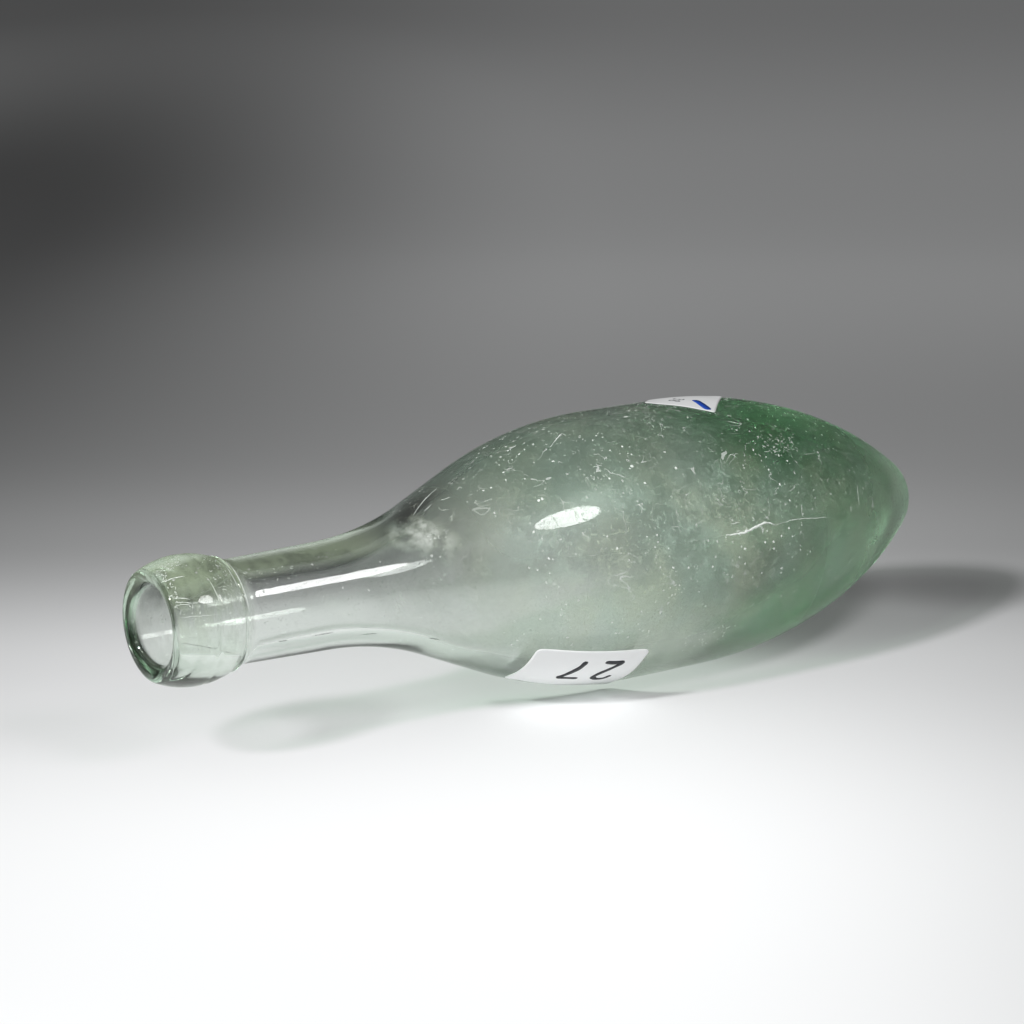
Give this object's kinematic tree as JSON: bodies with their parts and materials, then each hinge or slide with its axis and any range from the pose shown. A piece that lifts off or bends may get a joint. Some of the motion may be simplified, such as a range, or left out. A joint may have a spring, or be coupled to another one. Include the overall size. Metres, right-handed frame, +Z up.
{
  "type": "glass bottle",
  "caption": "Hollow green glass bottle with a pointed egg-shaped base, long neck and rounded applied lip, lying on its side with small paper labels stuck on.",
  "frame": {"origin": "middle of the bottle's length, on the surface it lies on, under the belly's lowest line", "axes": "+X along the bottle from the mouth to the tip, +Z up, -Y towards the side with the front label"},
  "size_m": [0.2334, 0.07, 0.0702],
  "materials": {
    "green_glass": "clear pale green, worn and hazy",
    "label_paper": "matte white, slightly soiled"
  },
  "bodies": {
    "root": {"glass_body": "green_glass", "applied_lip": "green_glass", "front_label": "label_paper", "top_label": "label_paper"}
  },
  "joints": []
}
